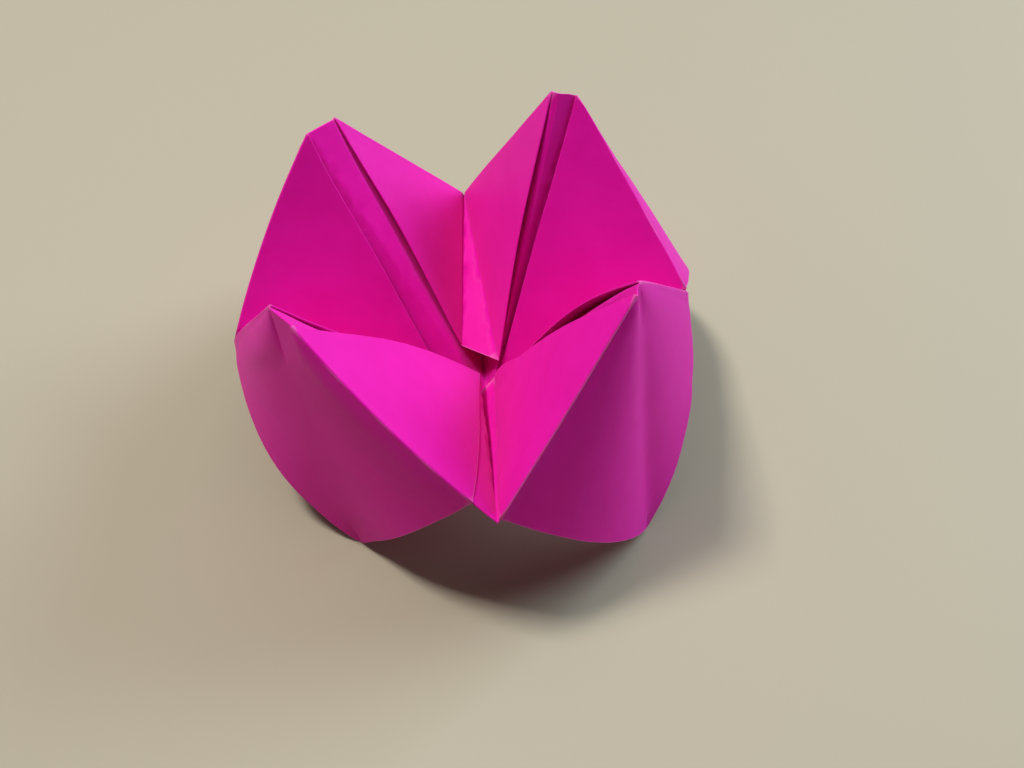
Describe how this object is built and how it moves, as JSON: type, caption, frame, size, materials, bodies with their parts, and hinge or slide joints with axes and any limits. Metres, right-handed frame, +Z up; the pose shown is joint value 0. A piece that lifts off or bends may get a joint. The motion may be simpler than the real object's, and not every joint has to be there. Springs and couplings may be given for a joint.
{
  "type": "paper fortune teller",
  "caption": "Paper fortune teller folded from a square sheet of pink paper, its mouth half open, standing on the sheet's corners.",
  "frame": {"origin": "middle of the footprint, at the height of the table that the paper corners rest on", "axes": "+Z is up, +X is to the right and +Y away from someone who looks at the side with the open front valley"},
  "size_m": [0.1046, 0.105, 0.0767],
  "materials": {
    "pink_paper": "matt bright pink copy paper, dyed through, with worn paler folds and cut edges"
  },
  "bodies": {
    "root": {"folded_sheet": "pink_paper"}
  },
  "joints": []
}
